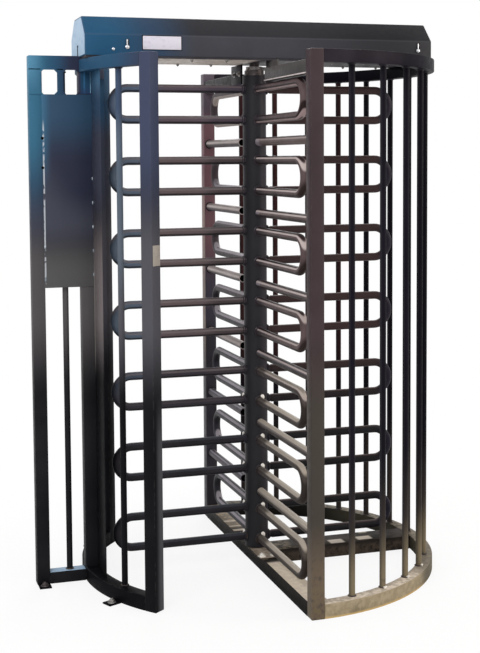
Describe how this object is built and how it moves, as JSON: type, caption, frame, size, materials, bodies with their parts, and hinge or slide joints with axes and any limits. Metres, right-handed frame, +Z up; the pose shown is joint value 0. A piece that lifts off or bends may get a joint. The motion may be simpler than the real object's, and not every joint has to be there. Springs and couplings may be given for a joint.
{
  "type": "mantrap turnstile",
  "caption": "Full height mantrap turnstile: a column with four hairpin wings turns inside a half round barred cage under a box header, beside a narrow fence panel.",
  "frame": {"origin": "on the rotor's axis at floor level, in the underside of the base rail", "axes": "+Z up along the rotor's axis, +X along the header towards the barred half of the cage, +Y from the entry side to the exit side"},
  "size_m": [1.7438, 1.538, 2.363],
  "materials": {
    "frame_paint": "gloss black powder coat, dusty near the floor",
    "panel_paint": "gloss black powder coat",
    "header_paint": "gloss black powder coat on folded sheet steel",
    "rotor_paint": "gloss black powder coat on tube",
    "shaft_steel": "machined, slightly dull",
    "bearing_steel": "machined, slightly dull"
  },
  "bodies": {
    "frame": {"base_rail": "frame_paint", "cross_rail": "frame_paint", "right_base_ring": "frame_paint", "left_base_ring": "frame_paint", "right_top_ring": "frame_paint", "left_top_ring": "frame_paint", "front_post": "frame_paint", "back_post": "frame_paint", "entry_post": "frame_paint", "exit_post": "frame_paint", "right_cage_bars": "frame_paint", "left_cage_bars": "frame_paint", "filler_sheet": "frame_paint", "front_top_rail": "frame_paint", "back_top_rail": "frame_paint", "front_comb": "frame_paint", "back_comb": "frame_paint", "panel_outer_post": "panel_paint", "panel_inner_post": "panel_paint", "panel_bar": "panel_paint", "panel_top_rail": "panel_paint", "panel_bottom_rail": "panel_paint", "panel_sheet": "panel_paint", "header_floor": "header_paint", "header_cover": "header_paint", "header_left_end": "header_paint", "header_right_end": "header_paint", "upper_bearing": "bearing_steel", "lower_bearing": "bearing_steel", "anchor_tabs": "frame_paint"},
    "rotor": {"rotor_column": "rotor_paint", "rotor_shaft": "shaft_steel", "left_wing": "rotor_paint", "right_wing": "rotor_paint", "front_wing": "rotor_paint", "back_wing": "rotor_paint"}
  },
  "joints": [
    {"name": "rotor_spin", "type": "hinge", "parent": "frame", "child": "rotor", "pos_m": [0, 0, 1], "axis": [0, 0, 1], "continuous": true}
  ]
}
